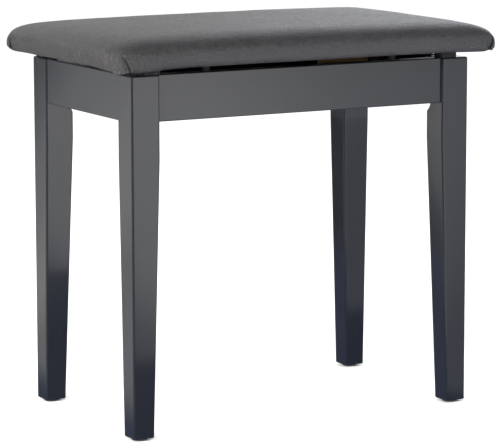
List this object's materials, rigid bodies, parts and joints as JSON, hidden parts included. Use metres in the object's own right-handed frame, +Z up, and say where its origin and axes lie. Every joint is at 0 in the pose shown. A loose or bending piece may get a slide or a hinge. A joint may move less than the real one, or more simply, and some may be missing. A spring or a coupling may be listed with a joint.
{
  "type": "piano bench",
  "caption": "Upholstered piano bench with square tapered legs, aprons, and a padded lift-up lid over a shallow music compartment.",
  "frame": {"origin": "on the floor under the middle of the bench", "axes": "+X to the right along the front, +Y to the back where the lid is hinged, +Z up"},
  "size_m": [0.532, 0.34, 0.49],
  "materials": {
    "black_lacquer": "high gloss black lacquer on hardwood",
    "bare_wood": "planed, unfinished hardwood",
    "panel_board": "smooth hardboard, unfinished",
    "plywood": "sanded plywood",
    "zinc_steel": "bright zinc plate",
    "brass_screw": "yellow zinc plate",
    "glide_plastic": "moulded grey nylon, satin",
    "black_rubber": "matt moulded rubber",
    "hinge_brass": "satin brass plate",
    "nickel_steel": "satin nickel plate",
    "foam": "open-cell upholstery foam",
    "black_vinyl": "black vinyl with a fine grain, semi-matt",
    "lining_cloth": "black non-woven lining cloth"
  },
  "bodies": {
    "frame": {"leg_front_left": "black_lacquer", "leg_front_right": "black_lacquer", "leg_back_left": "black_lacquer", "leg_back_right": "black_lacquer", "apron_front": "black_lacquer", "apron_back": "black_lacquer", "apron_left": "black_lacquer", "apron_right": "black_lacquer", "corner_block_front_left": "bare_wood", "corner_block_front_right": "bare_wood", "corner_block_back_left": "bare_wood", "corner_block_back_right": "bare_wood", "corner_block_screws": "brass_screw", "hanger_bolts": "zinc_steel", "leg_washers": "zinc_steel", "leg_nuts": "zinc_steel", "bottom_panel": "panel_board", "cleat_front": "bare_wood", "cleat_back": "bare_wood", "cleat_left": "bare_wood", "cleat_right": "bare_wood", "cleat_pins": "zinc_steel", "glide_front_left": "glide_plastic", "glide_front_right": "glide_plastic", "glide_back_left": "glide_plastic", "glide_back_right": "glide_plastic", "glide_nails": "zinc_steel", "bumper_left": "black_rubber", "bumper_right": "black_rubber", "leg_pad_front_left": "black_rubber", "leg_pad_front_right": "black_rubber", "leg_pad_back_left": "black_rubber", "leg_pad_back_right": "black_rubber", "hinge_fixed_leaf_left": "hinge_brass", "hinge_fixed_leaf_right": "hinge_brass", "hinge_pin_left": "hinge_brass", "hinge_pin_right": "hinge_brass", "hinge_fixed_screws": "hinge_brass", "stay_plate": "nickel_steel", "stay_plate_screws": "nickel_steel", "stay_plate_pin": "nickel_steel"},
    "lid": {"hinge_lid_leaf_left": "hinge_brass", "hinge_lid_leaf_right": "hinge_brass", "hinge_lid_screws": "hinge_brass", "stay_bracket": "nickel_steel", "stay_bracket_screws": "nickel_steel", "stay_bracket_pin": "nickel_steel", "seat_board": "plywood", "seat_foam": "foam", "seat_cover": "black_vinyl", "lid_lining": "lining_cloth", "lining_staples": "zinc_steel"},
    "stay_lower": {"stay_lower_arm": "nickel_steel", "stay_middle_rivet": "nickel_steel"},
    "stay_upper": {"stay_upper_arm": "nickel_steel"}
  },
  "joints": [
    {"name": "lid_hinge", "type": "hinge", "parent": "frame", "child": "lid", "pos_m": [0, 0.1385, 0.451], "axis": [-1, 0, 0], "range_deg": [0, 75]},
    {"name": "stay_lower_pivot", "type": "hinge", "parent": "frame", "child": "stay_lower", "pos_m": [-0.213, 0.0285, 0.425], "axis": [-1, 0, 0], "range_deg": [0, 75]},
    {"name": "stay_upper_pivot", "type": "hinge", "parent": "lid", "child": "stay_upper", "pos_m": [-0.2106, 0.0505, 0.444], "axis": [-1, 0, 0], "range_deg": [-75, 0]}
  ],
  "couplings": [
    {"joint": "stay_lower_pivot", "follows": "lid_hinge", "ratio": 1},
    {"joint": "stay_upper_pivot", "follows": "lid_hinge", "ratio": -1}
  ]
}
